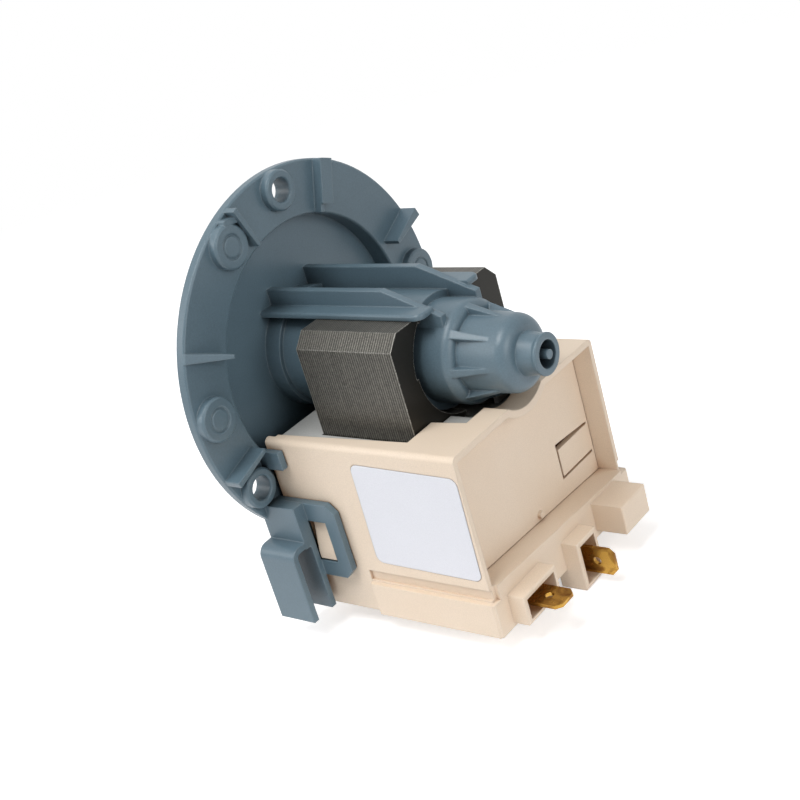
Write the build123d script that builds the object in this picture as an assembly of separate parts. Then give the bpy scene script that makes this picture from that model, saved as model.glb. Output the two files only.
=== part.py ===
from build123d import *
import math
import os

# Washer drain pump, a two-pole synchronous motor unit on a round flange.
# Origin: centre of the flange's front face on the rotor axis.
# +X runs along the rotor axis towards the motor's rear, +Z is up, the coil box hangs below.

# Fits and clearances shared by several pieces
running_clearance = 0.05
loose_clearance = 0.4
seat_gap = 0.1
snap_gap = 0.3
cut_overrun = 1.0
corner_match = 0.001

# Cover, flange and sunk dish
flange_radius = 40.8
flange_thickness = 2.5
flange_bevel = 0.35
flange_width = 11.8
dish_depth = 4.8
dish_floor = 2.5
spigot_wall = 2.2
seal_section = 2.5
seal_groove_depth = 0.8
seal_relief_depth = 0.3
seal_relief_gap = 0.15
seal_bevel_share = 0.28

# Cover, rotor canister and rear barrel
collar_back = 2.0
collar_step = 1.0
canister_step = 1.5
canister_wall = 1.2
canister_back = 36.8
cup_back = 46.0
cup_round = 2.0
barrel_front_radius = 8.5
barrel_rear_radius = 7.9
barrel_back = 57.5
barrel_round = 2.8
barrel_bore = 6.0
barrel_end_wall = 2.0
nose_front_radius = 4.6
nose_rear_radius = 4.1
nose_lip = 0.25
nose_lip_length = 1.2
nose_back = 62.0
nose_bevel = 0.2
nose_recess_radius = 2.9
nose_recess_depth = 4.6
nose_pin_radius = 1.0
nose_pin_rise = 0.5
barrel_rib_count = 8
barrel_rib_root = 2.0
barrel_rib_tip = 0.9
barrel_rib_back = 54.0
barrel_rib_drop = 0.15

# Cover, bridge over the pole arms
rail_offset = 6.15
rail_thickness = 1.6
rail_rise = 3.9
rail_slope_start = 30.2
ledge_rise = 0.4
ledge_thickness = 1.2
ledge_half_width = 10.8
ledge_back = 42.0
ledge_corner_round = 2.0
ledge_edge_bevel = 0.35

# Cover, bosses on the flange
screw_boss_edge = 4.5
blind_boss_edge = 5.0
boss_height = 2.0
screw_boss_radius = 4.4
screw_boss_angles = (90.0, 210.0, 330.0)
screw_hole_radius = 2.6
screw_sink_radius = 2.9
screw_sink_depth = 0.3
blind_boss_radius = 4.75
blind_boss_angles = (4.0, 120.0, 179.0)
blind_ring_inner = 2.1
blind_ring_outer = 2.8
blind_ring_depth = 0.35
blind_ring_slope = 0.2
boss_bevel = 0.4

# Cover, blades on the flange: each has an angle, heights and thicknesses at its inner and outer end
blade_setback = 1.8
rim_gap = 0.1
thin_blade = 0.9
plate_blade = 1.3
wedge_blade = 2.2
low_blade = 2.9
middle_blade = 4.2
clip_blade = 2.5
blade_ramp_foot = 0.3
blades = (
    (23.6, middle_blade, middle_blade, thin_blade, wedge_blade),
    (70.2, clip_blade, clip_blade, thin_blade, thin_blade),
    (111.6, low_blade, low_blade, thin_blade, plate_blade),
    (158.0, middle_blade, blade_ramp_foot, thin_blade, wedge_blade),
    (199.0, middle_blade, middle_blade, thin_blade, plate_blade),
    (341.0, middle_blade, middle_blade, thin_blade, plate_blade),
)
clip_angle = 70.2
clip_width = 3.5
clip_plate = 1.0
stub_height = 2.0
hook_blade_angle = 111.6
hook_leg_start = 2.4
hook_leg_length = 4.0
hook_leg_height = 1.9
hook_leg_turn = 62.0

# Coil housing, box and walls
housing_front = 3.0
housing_back = 54.0
housing_half_width = 26.1
housing_top = -9.5
housing_bottom = -50.0
housing_wall = 1.6
housing_round = 1.2
deck_front = 39.8
rim_width = 4.4
rim_front_width = 2.4
cradle_half_width = 13.5
cradle_taper = 1.0
cradle_back = 48.0
scoop_radius = 9.8
scoop_depth = 2.2

# Coil housing, rear frame, ledge and lid seat
lid_recess = 4.7
frame_rim = 1.1
frame_draft_width = 0.3
frame_top_drop = 1.4
frame_top_draft = 0.3
ledge_near_z = -38.9
ledge_far_z = -41.6
lower_block_back = 55.0
lower_block_inset = 1.5

# Coil housing, side panels
skirt_step = 1.2
skirt_front = 22.4
skirt_top = -42.3
groove_top = -39.6
groove_bottom = -41.9
groove_depth = 0.6
label_front = 26.2
label_back = 53.2
label_top = -13.6
label_bottom = -37.2
label_turn = -1.4
label_thickness = 0.2
label_corner = 1.8
nub_length = 4.5
nub_lead = 0.4
nub_height = 1.7
relief_width = 1.5
relief_drop = 0.9

# Coil housing, terminal shrouds and key block
shroud_depth = 4.0
shroud_wall = 1.0
line_shroud_near = -22.7
line_shroud_far = -10.6
line_shroud_top = -42.6
line_shroud_bottom = -49.2
neutral_shroud_near = -2.2
neutral_shroud_far = 5.4
neutral_shroud_top = -43.4
neutral_shroud_bottom = -54.6
neutral_shroud_front = 52.6
key_near = 11.0
key_far = 21.0
key_top = -41.8
key_bottom = -48.5
key_length = 7.8
key_round = 0.4

# Blade terminals, standard 6.3 mm tabs
tab_width = 6.3
tab_thickness = 0.8
tab_tip = 65.0
tab_tip_chamfer = 1.2
tab_hole_radius = 0.9
tab_hole_setback = 4.3
tab_shank_width = 1.8
tab_slot_gap = 0.1
tab_root = 47.4
line_tab_y = -16.7
neutral_tab_y = 1.6

# Rear lid with its snap tongue
lid_thickness = 1.4
lid_clearance = 0.15
tongue_edge = 0.6
tongue_length = 12.0
tongue_top = -29.6
tongue_bottom = -36.0
tongue_slot = 0.55
tongue_finger_gap = 1.6
lid_nub_radius = 0.8
lid_nub_height = 0.8
lid_nub_y = 0.6

# Latch frames, straps and cord hook on the cover
latch_thickness = 1.6
latch_front = 1.0
latch_back = 19.3
latch_top = -23.2
latch_bottom = -41.2
latch_chamfer = 2.0
window_front = 9.6
window_back = 15.9
window_top = -27.6
window_bottom = -37.4
strap_back = 11.0
strap_grip = 6.6
strap_bottom = -33.0
strap_thickness = 3.0
hook_bottom = -49.0
hook_top = -31.3
hook_wall = 1.4
hook_slot = 4.6
hook_round = 2.4
hook_inner_round = 1.0
guide_back = 8.5
guide_top = -11.5
guide_bottom = -15.6

# Pole stacks and yoke
stack_front = 14.0
stack_depth = 25.4
stack_gap = 0.6
bore_step = 0.6
bore_step_angle = 50.0
pole_top_chamfer = 3.0
pole_shoulder = 1.8
pole_tip_y = 1.8
pole_foot_drop = 0.6
pole_foot_taper = 2.6
leg_outer = 17.0
leg_inner = 8.0
yoke_height = 7.0
stack_dimple_radius = 1.2
stack_dimple_depth = 0.4

# Bobbins and windings
bobbin_wall = 1.0
bobbin_flange = 1.2
bobbin_leg_gap = 0.2
winding_build = 4.1
winding_round = 3.0
flange_overlap = 0.6
coil_side_gap = 0.5
bobbin_split_gap = 0.6

# Coil caps in the mouth of the housing
cap_thickness = 1.2
cap_edge = 0.4
cap_back = 46.8
cap_inner = 7.2
cap_pole_gap = 0.3
cap_skirt = 1.0

# Rotor shaft, magnet and hub
shaft_radius = 1.5
shaft_front = -24.4
shaft_back = 53.4
shaft_chamfer = 0.3
magnet_radius = 9.2
magnet_length = 28.0
magnet_bore = 4.0
rotor_gap = 0.5
hub_cap_inset = 1.0
hub_cap_thickness = 1.8
hub_neck_radius = 3.0
hub_key_width = 2.0
hub_key_depth = 0.8

# Bushes, rubbers, washers and bearing plate
bush_radius = 3.4
rear_bush_front = 46.6
rear_bush_length = 6.4
rubber_lip = 0.6
front_bush_front = -6.8
front_bush_length = 8.6
front_rubber_radius = 5.4
washer_radius = 3.3
washer_thickness = 0.5
axial_play = 0.15
plate_rim = 3.4
plate_flange_thickness = 1.4
plate_plug_depth = 5.6
plate_seal_section = 1.6
plate_seal_offset = 3.0
plate_web = 1.2
plate_web_recess = 2.6

# Impeller, driver dog and clip
impeller_radius = 19.0
impeller_back = -9.4
impeller_disc = 1.4
impeller_front = -22.6
impeller_hub_wall = 1.7
chamber_radius = 6.3
chamber_front_wall = 2.6
dog_width_degrees = 70.0
dog_core_radius = 3.2
dog_tip_clearance = 0.3
chamber_cap_thickness = 1.4
vane_count = 6
vane_thickness = 1.6
vane_tip_drop = 2.6
clip_radius = 3.2
clip_thickness = 0.6

# Thermal cut-out and coil leads
cutout_depth = 2.2
cutout_width = 11.0
cutout_height = 6.0
cutout_y = 11.0
cutout_z = -24.0
cutout_round = 0.8
lead_radius = 0.35
lead_plane_gap = 0.6
lead_height = 1.2

# Places worked out from the sizes above
cup_radius = magnet_radius + rotor_gap + canister_wall
canister_radius = cup_radius + canister_step
collar_radius = canister_radius + collar_step
bore_radius = canister_radius + stack_gap
rail_top = canister_radius + rail_rise
ledge_top = canister_radius + ledge_rise
pole_half_width = leg_outer + pole_shoulder
hub_cap_radius = magnet_radius - hub_cap_inset
dish_radius = flange_radius - flange_width
spigot_radius = dish_radius + spigot_wall
screw_circle_radius = flange_radius - screw_boss_edge
blind_circle_radius = flange_radius - blind_boss_edge
blade_inner_radius = dish_radius + blade_setback
rim_reach = flange_radius - rim_gap
dish_floor_x = flange_thickness - dish_depth
dish_front_x = dish_floor_x - dish_floor
seal_groove_radius = spigot_radius - seal_groove_depth
seal_groove_end = seal_relief_depth - seal_section - loose_clearance
seal_relief_radius = seal_groove_radius + running_clearance + seal_section + seal_relief_gap
canister_bore = canister_radius - canister_wall
cup_bore = cup_radius - canister_wall
canister_bore_back = canister_back - canister_wall
cup_bore_back = cup_back - canister_wall
barrel_bore_back = barrel_back - barrel_end_wall
nose_recess_floor = nose_back - nose_recess_depth
stack_back = stack_front + stack_depth
stack_middle = stack_front + stack_depth / 2
ledge_bottom = ledge_top - ledge_thickness
pole_top = ledge_bottom - seat_gap
rail_inner = rail_offset - rail_thickness / 2
rail_outer = rail_offset + rail_thickness / 2
pole_crown_y = rail_outer + snap_gap
scoop_centre_z = housing_top - scoop_depth + scoop_radius
lid_face = housing_back - lid_recess
lid_back = lid_face - lid_thickness
latch_inner = housing_half_width + snap_gap
latch_outer = latch_inner + latch_thickness
strap_outer = latch_outer + strap_thickness
strap_top = strap_grip - math.sqrt(flange_radius ** 2 - latch_outer ** 2)
hook_outer = latch_outer + 2 * hook_wall + hook_slot
housing_floor = housing_bottom + housing_wall
yoke_bottom = housing_floor + seat_gap
yoke_top = yoke_bottom + yoke_height
pole_foot = -bore_radius - pole_foot_drop
leg_root = pole_foot - pole_foot_taper
magnet_front = stack_middle - magnet_length / 2
magnet_back = stack_middle + magnet_length / 2
hub_front = magnet_front - hub_cap_thickness
hub_back = magnet_back + hub_cap_thickness
rear_bush_back = rear_bush_front + rear_bush_length
front_bush_back = front_bush_front + front_bush_length
chamber_front = impeller_front + chamber_front_wall
impeller_hub_radius = chamber_radius + impeller_hub_wall
chamber_cap_front = impeller_back - chamber_cap_thickness
nub_back = window_back - snap_gap
nub_front = nub_back - nub_length
nub_top = window_top - snap_gap
nub_bottom = window_bottom + snap_gap
cap_top = housing_top - housing_wall - snap_gap
cap_front = housing_front + cap_edge
coil_outer = housing_half_width - housing_wall - coil_side_gap
lower_block_half_width = housing_half_width - lower_block_inset
lid_inset = frame_rim + frame_draft_width + lid_clearance
tongue_fixed = housing_half_width - lid_inset - tongue_edge
tongue_free = tongue_fixed - tongue_length


def ledge_z(y):
    """Height of the slanted ledge under the lid at a place across the box."""
    share = (y + housing_half_width) / (2 * housing_half_width)
    return ledge_near_z + share * (ledge_far_z - ledge_near_z)


def polar(radius, degrees):
    angle = math.radians(degrees)
    return radius * math.cos(angle), radius * math.sin(angle)


def outline(points, rounds=(), bevels=()):
    """Flat face through the points, with the named corners rounded or bevelled."""
    face = make_face(Polyline(*points, close=True))
    for finish, corners in ((fillet, rounds), (chamfer, bevels)):
        for point, size in corners:
            near = [v for v in face.vertices() if math.dist((v.X, v.Y), point) < corner_match]
            face = finish(near, size)
    return face


def turned(points, rounds=(), bevels=()):
    """Turn an outline of (x, radius) points about the rotor axis."""
    return revolve(Plane.XZ * outline(points, rounds, bevels), Axis.X)


def along_x(face, start, end):
    """Extrude an outline drawn in (y, z) from one x to another."""
    return extrude(Plane.YZ.offset(start) * face, end - start)


def along_y(face, start, end):
    """Extrude an outline drawn in (x, z) from one y to another."""
    return extrude(Plane.XZ.offset(-end) * face, end - start)


def along_z(face, start, end):
    """Extrude an outline drawn in (x, y) from one z to another."""
    return extrude(Plane.XY.offset(start) * face, end - start)


def block(x_range, y_range, z_range):
    sizes = [high - low for low, high in (x_range, y_range, z_range)]
    middles = [(high + low) / 2 for low, high in (x_range, y_range, z_range)]
    return Pos(*middles) * Box(*sizes)


def disc(radius, start, end, y=0, z=0):
    return along_x(Pos(y, z) * Circle(radius), start, end)


def ring(outer, inner, start, end):
    return disc(outer, start, end) - disc(inner, start - cut_overrun, end + cut_overrun)


def sector(outer, inner, start, end, middle_degrees, width_degrees):
    """Part of a ring, as wide as the given angle."""
    reach = 2 * outer
    edges = [polar(reach, middle_degrees + share * width_degrees) for share in (-0.5, 0, 0.5)]
    wedge = along_x(outline([(0, 0)] + edges), start, end)
    return ring(outer, inner, start, end) & wedge


def mirrored(solid):
    return mirror(solid, about=Plane.XZ)


def cover_turned_body():
    """Flange, sunk dish, spigot, canister, cup, barrel and nose as one turned outline."""
    points = [
        (dish_front_x, 0),
        (dish_front_x, spigot_radius),
        (seal_groove_end, spigot_radius),
        (seal_groove_end, seal_groove_radius),
        (seal_relief_depth, seal_groove_radius),
        (seal_relief_depth, seal_relief_radius),
        (0, seal_relief_radius),
        (0, flange_radius),
        (flange_thickness, flange_radius),
        (flange_thickness, dish_radius),
        (dish_floor_x, dish_radius),
        (dish_floor_x, collar_radius),
        (collar_back, collar_radius),
        (collar_back, canister_radius),
        (canister_back, canister_radius),
        (canister_back, cup_radius),
        (cup_back, cup_radius),
        (cup_back, barrel_front_radius),
        (barrel_back, barrel_rear_radius),
        (barrel_back, nose_front_radius),
        (nose_back - nose_lip_length, nose_rear_radius),
        (nose_back - nose_lip_length / 2, nose_rear_radius + nose_lip),
        (nose_back, nose_rear_radius + nose_lip),
        (nose_back, nose_recess_radius),
        (nose_recess_floor, nose_recess_radius),
        (nose_recess_floor, nose_pin_radius),
        (nose_back + nose_pin_rise, nose_pin_radius),
        (nose_back + nose_pin_rise, 0),
    ]
    rounds = [((barrel_back, barrel_rear_radius), barrel_round), ((cup_back, cup_radius), cup_round)]
    bevels = [
        ((0, flange_radius), flange_bevel),
        ((flange_thickness, flange_radius), flange_bevel),
        ((flange_thickness, dish_radius), flange_bevel),
        ((nose_back, nose_rear_radius + nose_lip), nose_bevel),
    ]
    return turned(points, rounds, bevels)


def cover_bore():
    """Space for the rotor, open at the dish's front."""
    points = [
        (dish_front_x - cut_overrun, 0),
        (dish_front_x - cut_overrun, canister_bore),
        (canister_bore_back, canister_bore),
        (canister_bore_back, cup_bore),
        (cup_bore_back, cup_bore),
        (cup_bore_back, barrel_bore),
        (barrel_bore_back, barrel_bore),
        (barrel_bore_back, 0),
    ]
    return turned(points)


def bridge_half():
    """One rail with the ledge that lies on the pole arm."""
    rail = outline([
        (dish_floor_x - dish_floor / 2, 0),
        (dish_floor_x - dish_floor / 2, rail_top),
        (rail_slope_start, rail_top),
        (cup_back - cup_round, cup_radius),
        (cup_back - cup_round, 0),
    ])
    ledge = outline(
        [
            (dish_floor_x - dish_floor / 2, rail_offset),
            (dish_floor_x - dish_floor / 2, ledge_half_width),
            (ledge_back, ledge_half_width),
            (ledge_back, rail_offset),
        ],
        [((ledge_back, ledge_half_width), ledge_corner_round)],
    )
    plate = along_z(ledge, ledge_bottom, ledge_top)
    top_rim = plate.faces().sort_by(Axis.Z)[-1].edges().filter_by(
        lambda edge: edge.center().Y > ledge_half_width - ledge_corner_round
    )
    plate = chamfer(top_rim, ledge_edge_bevel)
    return along_y(rail, rail_inner, rail_outer) + plate


def barrel_ribs():
    """Ribs from the cup's rim down to the barrel, evenly spaced, thicker at the cup."""
    front = cup_back - cup_round
    side = outline([
        (front, 0),
        (front, cup_radius - barrel_rib_drop),
        (barrel_rib_back, barrel_rear_radius),
        (barrel_rib_back, 0),
    ])
    plan = outline([
        (front, -barrel_rib_root / 2),
        (front, barrel_rib_root / 2),
        (barrel_rib_back, barrel_rib_tip / 2),
        (barrel_rib_back, -barrel_rib_tip / 2),
    ])
    half = barrel_rib_root / 2
    first = along_y(side, -half, half) & along_z(plan, 0, cup_radius)
    turns = [index * 360 / barrel_rib_count for index in range(barrel_rib_count)]
    return [Rot(turn, 0, 0) * first for turn in turns]


def flange_bosses():
    """Round pads for the screws, and blind pads with a ring groove."""
    pads = []
    places = [(angle, screw_circle_radius, screw_boss_radius) for angle in screw_boss_angles]
    places += [(angle, blind_circle_radius, blind_boss_radius) for angle in blind_boss_angles]
    for angle, circle_radius, radius in places:
        y, z = polar(circle_radius, angle)
        pad = disc(radius, flange_thickness / 2, flange_thickness + boss_height, y, z)
        pad = chamfer(pad.faces().sort_by(Axis.X)[-1].edges(), boss_bevel)
        pads.append(pad & disc(rim_reach, 0, flange_thickness + boss_height))
    return pads


def flange_holes():
    """Screw holes with their sinks, and the grooves of the blind pads."""
    pad_top = flange_thickness + boss_height
    cuts = []
    for angle in screw_boss_angles:
        y, z = polar(screw_circle_radius, angle)
        cuts.append(disc(screw_hole_radius, -cut_overrun, pad_top + cut_overrun, y, z))
        sink = Plane((pad_top, y, z), z_dir=(1, 0, 0)) * Cone(
            screw_hole_radius,
            screw_sink_radius,
            screw_sink_depth,
            align=(Align.CENTER, Align.CENTER, Align.MAX),
        )
        cuts.append(sink)
    for angle in blind_boss_angles:
        y, z = polar(blind_circle_radius, angle)
        groove = turned([
            (pad_top + blind_ring_depth, blind_ring_inner - blind_ring_slope),
            (pad_top + blind_ring_depth, blind_ring_outer + blind_ring_slope),
            (pad_top - blind_ring_depth, blind_ring_outer - blind_ring_slope),
            (pad_top - blind_ring_depth, blind_ring_inner + blind_ring_slope),
        ])
        cuts.append(Pos(0, y, z) * groove)
    return cuts


def upright(start, end, heights, thicknesses, foot):
    """Upright plate along +Y between two radii, with a height and a thickness at each end."""
    plan = outline([
        (start, -thicknesses[0] / 2),
        (end, -thicknesses[1] / 2),
        (end, thicknesses[1] / 2),
        (start, thicknesses[0] / 2),
    ])
    low = flange_thickness + foot
    high = flange_thickness + max(heights)
    side = outline([
        (low, start),
        (flange_thickness + heights[0], start),
        (flange_thickness + heights[1], end),
        (low, end),
    ])
    half = max(thicknesses) / 2
    return along_x(plan, low, high) & along_z(side, -half, half)


def flange_blades():
    """Upright blades on the flange's back, the plate and stub of one, and the hooked leg of another."""
    root = -flange_thickness / 2
    solids = []
    for angle, inner_height, outer_height, inner_thickness, outer_thickness in blades:
        heights = (inner_height, outer_height)
        thicknesses = (inner_thickness, outer_thickness)
        blade = upright(blade_inner_radius, rim_reach, heights, thicknesses, root)
        solids.append(Rot(angle, 0, 0) * blade)
    plate_end = flange_thickness + clip_blade
    plate = block(
        (plate_end - clip_plate, plate_end),
        (blade_inner_radius, rim_reach),
        (thin_blade / 2 - clip_width, thin_blade / 2),
    )
    plate = plate & disc(rim_reach, 0, plate_end)
    plate = Rot(clip_angle, 0, 0) * plate
    stub_heights = (stub_height, stub_height)
    stub = upright(dish_radius, blade_inner_radius + thin_blade, stub_heights, (thin_blade, thin_blade), root)
    leg_heights = (hook_leg_height, hook_leg_height)
    leg = upright(0, hook_leg_length, leg_heights, (plate_blade, plate_blade), root)
    leg = Pos(0, rim_reach - hook_leg_start, 0) * Rot(hook_leg_turn, 0, 0) * leg
    leg = leg & Rot(-hook_blade_angle, 0, 0) * disc(rim_reach, 0, flange_thickness + low_blade)
    solids += [plate, Rot(clip_angle, 0, 0) * stub, Rot(hook_blade_angle, 0, 0) * leg]
    return solids


def latch():
    """Strap, snap window and upper guide on one side of the coil box."""
    strap = block((latch_front, strap_back), (latch_outer, strap_outer), (strap_bottom, strap_top))
    points = [
        (latch_front, latch_top),
        (latch_back - latch_chamfer, latch_top),
        (latch_back, latch_top - latch_chamfer),
        (latch_back, latch_bottom + latch_chamfer),
        (latch_back - latch_chamfer, latch_bottom),
        (latch_front, latch_bottom),
    ]
    frame = along_y(outline(points), latch_inner, latch_outer)
    window = block(
        (window_front, window_back),
        (latch_inner - cut_overrun, latch_outer + cut_overrun),
        (window_bottom, window_top),
    )
    guide = block((dish_floor_x, guide_back), (latch_inner, latch_outer), (guide_bottom, guide_top))
    guide = guide - ring(flange_radius, dish_radius, dish_front_x, seal_relief_depth)
    return strap + (frame - window) + guide


def cord_hook():
    """Open loop below the strap that keeps the appliance's leads in place."""
    outer = -hook_outer
    inner = outer + 2 * hook_wall + hook_slot
    loop = outline(
        [(outer, hook_bottom), (outer, hook_top), (inner, hook_top), (inner, hook_bottom)],
        [((outer, hook_top), hook_round)],
    )
    slot_outer = outer + hook_wall
    slot_inner = slot_outer + hook_slot
    slot_top = hook_top - hook_wall
    slot_bottom = hook_bottom - cut_overrun
    slot = outline(
        [(slot_outer, slot_bottom), (slot_outer, slot_top), (slot_inner, slot_top), (slot_inner, slot_bottom)],
        [((slot_outer, slot_top), hook_inner_round), ((slot_inner, slot_top), hook_inner_round)],
    )
    return along_x(loop - slot, latch_front, strap_back)


def housing_space():
    """Space that the coil housing takes up in front of the flange's bosses and blades."""
    return block(
        (housing_front - snap_gap, housing_back),
        (-latch_inner, latch_inner),
        (housing_bottom, housing_top + snap_gap),
    )


def pump_cover():
    body = cover_turned_body()
    half = bridge_half()
    side = latch()
    space = housing_space()
    for solid in [half, mirrored(half), side, mirrored(side), cord_hook()] + barrel_ribs():
        body = body + solid
    for solid in flange_bosses() + flange_blades():
        body = body + (solid - space)
    return body - flange_holes() - cover_bore()


def seal_ring(front, inner, section):
    """Ring seal whose section is a square with bevelled corners."""
    low = inner
    high = inner + section
    back = front + section
    corners = [(front, low), (front, high), (back, high), (back, low)]
    bevel = section * seal_bevel_share
    return turned(corners, bevels=[(corner, bevel) for corner in corners])


def flange_seal():
    front = seal_groove_end + loose_clearance / 2
    return seal_ring(front, seal_groove_radius + running_clearance, seal_section)


def pole_outline():
    """Outline of one pole arm and its leg, on the +Y side."""
    points = [
        (pole_tip_y, 0),
        (pole_crown_y, 0),
        (pole_crown_y, pole_top),
        (pole_half_width - pole_top_chamfer, pole_top),
        (pole_half_width, pole_top - pole_top_chamfer),
        (pole_half_width, pole_foot),
        (leg_outer, leg_root),
        (leg_outer, yoke_top),
        (leg_inner, yoke_top),
        (leg_inner, leg_root),
        (pole_tip_y, pole_foot),
    ]
    return outline(points)


def pole_stack(side):
    """Lamination pack with half the rotor bore; the bore steps out over part of each pole."""
    pack = along_x(pole_outline(), stack_front, stack_back)
    if side < 0:
        pack = mirrored(pack)
    pack = pack - disc(bore_radius, stack_front - cut_overrun, stack_back + cut_overrun)
    step_middle = 90 - side * 90 + side * bore_step_angle / 2
    step = sector(
        bore_radius + bore_step,
        bore_radius - bore_step,
        stack_front - cut_overrun,
        stack_back + cut_overrun,
        step_middle,
        bore_step_angle,
    )
    pack = pack - step
    dimple_y = side * (leg_inner + leg_outer) / 2
    for dimple_z in (leg_root, (leg_root + yoke_top) / 2):
        pack = pack - disc(
            stack_dimple_radius, stack_back - stack_dimple_depth, stack_back + cut_overrun, dimple_y, dimple_z
        )
    return pack


def yoke_stack():
    pack = block((stack_front, stack_back), (-leg_outer, leg_outer), (yoke_bottom, yoke_top))
    return pack


def bobbin_frame(inset):
    """Edges of the leg's hole through a bobbin, moved out by an inset."""
    x_range = (stack_front - inset, stack_back + inset)
    y_range = (leg_inner - inset, leg_outer + inset)
    return x_range, y_range


def bobbin_heights():
    top = leg_root - seat_gap
    bottom = yoke_top + seat_gap
    return bottom, bottom + bobbin_flange, top - bobbin_flange, top


def winding_ranges():
    x_range, y_range = bobbin_frame(bobbin_leg_gap + bobbin_wall)
    x_wound = (x_range[0] - winding_build, x_range[1] + winding_build)
    y_wound = (bobbin_split_gap + flange_overlap, coil_outer - flange_overlap)
    return x_wound, y_wound


def bobbin():
    """Former on one leg: a tube between two flanges, on the +Y side."""
    bottom, low, high, top = bobbin_heights()
    x_wound, y_wound = winding_ranges()
    x_flange = (x_wound[0] - flange_overlap, x_wound[1] + flange_overlap)
    y_flange = (bobbin_split_gap, y_wound[1] + flange_overlap)
    tube = block(*bobbin_frame(bobbin_leg_gap + bobbin_wall), (bottom, top))
    flanges = block(x_flange, y_flange, (bottom, low)) + block(x_flange, y_flange, (high, top))
    hole = block(*bobbin_frame(bobbin_leg_gap), (bottom - cut_overrun, top + cut_overrun))
    return tube + flanges - hole


def winding():
    """Wound wire between the flanges of one bobbin, on the +Y side."""
    bottom, low, high, top = bobbin_heights()
    x_wound, y_wound = winding_ranges()
    body = block(x_wound, y_wound, (low, high))
    body = fillet(body.edges().filter_by(Axis.Z), winding_round)
    return body - block(*bobbin_frame(bobbin_leg_gap + bobbin_wall), (low - cut_overrun, high + cut_overrun))


def coil_cap():
    """Pale cap over one coil: a plate round the pole arm on a skirt, on the +Y side."""
    foot = bobbin_heights()[3] + seat_gap
    x_arm = (stack_front - cap_pole_gap, stack_back + cap_pole_gap)
    y_arm = (cap_inner - cut_overrun, pole_half_width + cap_pole_gap)
    x_skirt = (x_arm[0] - cap_skirt, x_arm[1] + cap_skirt)
    y_skirt = (cap_inner, y_arm[1] + cap_skirt)
    plate = block((cap_front, cap_back), (cap_inner, coil_outer), (cap_top - cap_thickness, cap_top))
    skirt = block(x_skirt, y_skirt, (foot, cap_top - cap_thickness / 2))
    arm = block(x_arm, y_arm, (foot - cut_overrun, cap_top + cut_overrun))
    relief = disc(canister_radius + loose_clearance, cap_front - cut_overrun, cap_back + cut_overrun)
    return plate + skirt - arm - relief


def frame_opening(rim, top_drop, lift=0):
    """Outline of the lid's opening inside a rim, with its slanted lower edge."""
    half = housing_half_width - rim
    return [
        (-half, ledge_z(-half) + lift),
        (-half, housing_top - top_drop),
        (half, housing_top - top_drop),
        (half, ledge_z(half) + lift),
    ]


def housing_shell():
    """Closed box with rounded long edges, skirt and lower rear block."""
    half = housing_half_width
    section = outline(
        [(-half, housing_bottom), (-half, housing_top), (half, housing_top), (half, housing_bottom)],
        [((-half, housing_top), housing_round), ((half, housing_top), housing_round)],
    )
    body = along_x(section, housing_front, housing_back)
    body = chamfer(body.faces().sort_by(Axis.X)[0].edges(), housing_round / 2)
    skirt = block(
        (skirt_front, lower_block_back), (-half - skirt_step, half + skirt_step), (housing_bottom, skirt_top)
    )
    skirt = chamfer(skirt.edges().filter_by(Axis.Z), skirt_step / 2)
    low = lower_block_half_width
    lower = outline([(-low, housing_bottom), (-low, ledge_z(-low)), (low, ledge_z(low)), (low, housing_bottom)])
    return body + skirt + along_x(lower, housing_back - housing_wall, lower_block_back)


def saddle(front, back, gap=0):
    """Round bridge of the deck under the barrel, from one x to another."""
    return disc(scoop_radius + housing_wall + gap, front, back, 0, scoop_centre_z)


def housing_cavity():
    """Room for the core and coils, with the opening in the top deck."""
    half = housing_half_width - housing_wall
    front = housing_front + housing_wall
    room = block((front, lid_back), (-half, half), (housing_floor, housing_top - housing_wall))
    room = room - saddle(cradle_back, housing_back)
    side = housing_half_width - rim_width
    front_side = housing_half_width - rim_front_width
    mouth = [
        (front, -front_side),
        (deck_front, -side),
        (deck_front, -cradle_half_width),
        (cradle_back, -cradle_half_width + cradle_taper),
    ]
    mouth = mouth + [(x, -y) for x, y in reversed(mouth)]
    opening = along_z(outline(mouth), housing_floor, housing_top + cut_overrun)
    lower_half = lower_block_half_width - housing_wall
    lower_room = block(
        (lid_back - cut_overrun, lower_block_back - housing_wall),
        (-lower_half, lower_half),
        (housing_floor, ledge_far_z - housing_wall),
    )
    scallop = disc(canister_radius + loose_clearance, housing_front - cut_overrun, front + cut_overrun)
    sill = block(
        (housing_front - cut_overrun, front + cut_overrun),
        (-half, half),
        (cap_top - cap_thickness - seat_gap, housing_top + cut_overrun),
    )
    return [room, opening, lower_room, scallop, sill]


def housing_frame_cuts():
    """Drafted recess round the lid, the lid's seat and the dip in the top edge."""
    rear = Plane.YZ.offset(housing_back + cut_overrun)
    seat = Plane.YZ.offset(lid_face)
    outer_rim = frame_rim - frame_draft_width * cut_overrun / lid_recess
    outer_drop = frame_top_drop - frame_top_draft * cut_overrun / lid_recess
    wide = outline(frame_opening(outer_rim, outer_drop))
    narrow = outline(frame_opening(frame_rim + frame_draft_width, frame_top_drop + frame_top_draft))
    recess = loft([seat * narrow, rear * wide])
    doorway = along_x(narrow, lid_back - cut_overrun, lid_face + cut_overrun)
    bridge = saddle(lid_back - 2 * cut_overrun, housing_back + 2 * cut_overrun)
    scoop = disc(scoop_radius, cradle_back - cut_overrun, housing_back + cut_overrun, 0, scoop_centre_z)
    return [recess - bridge, doorway - bridge, scoop]


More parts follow.
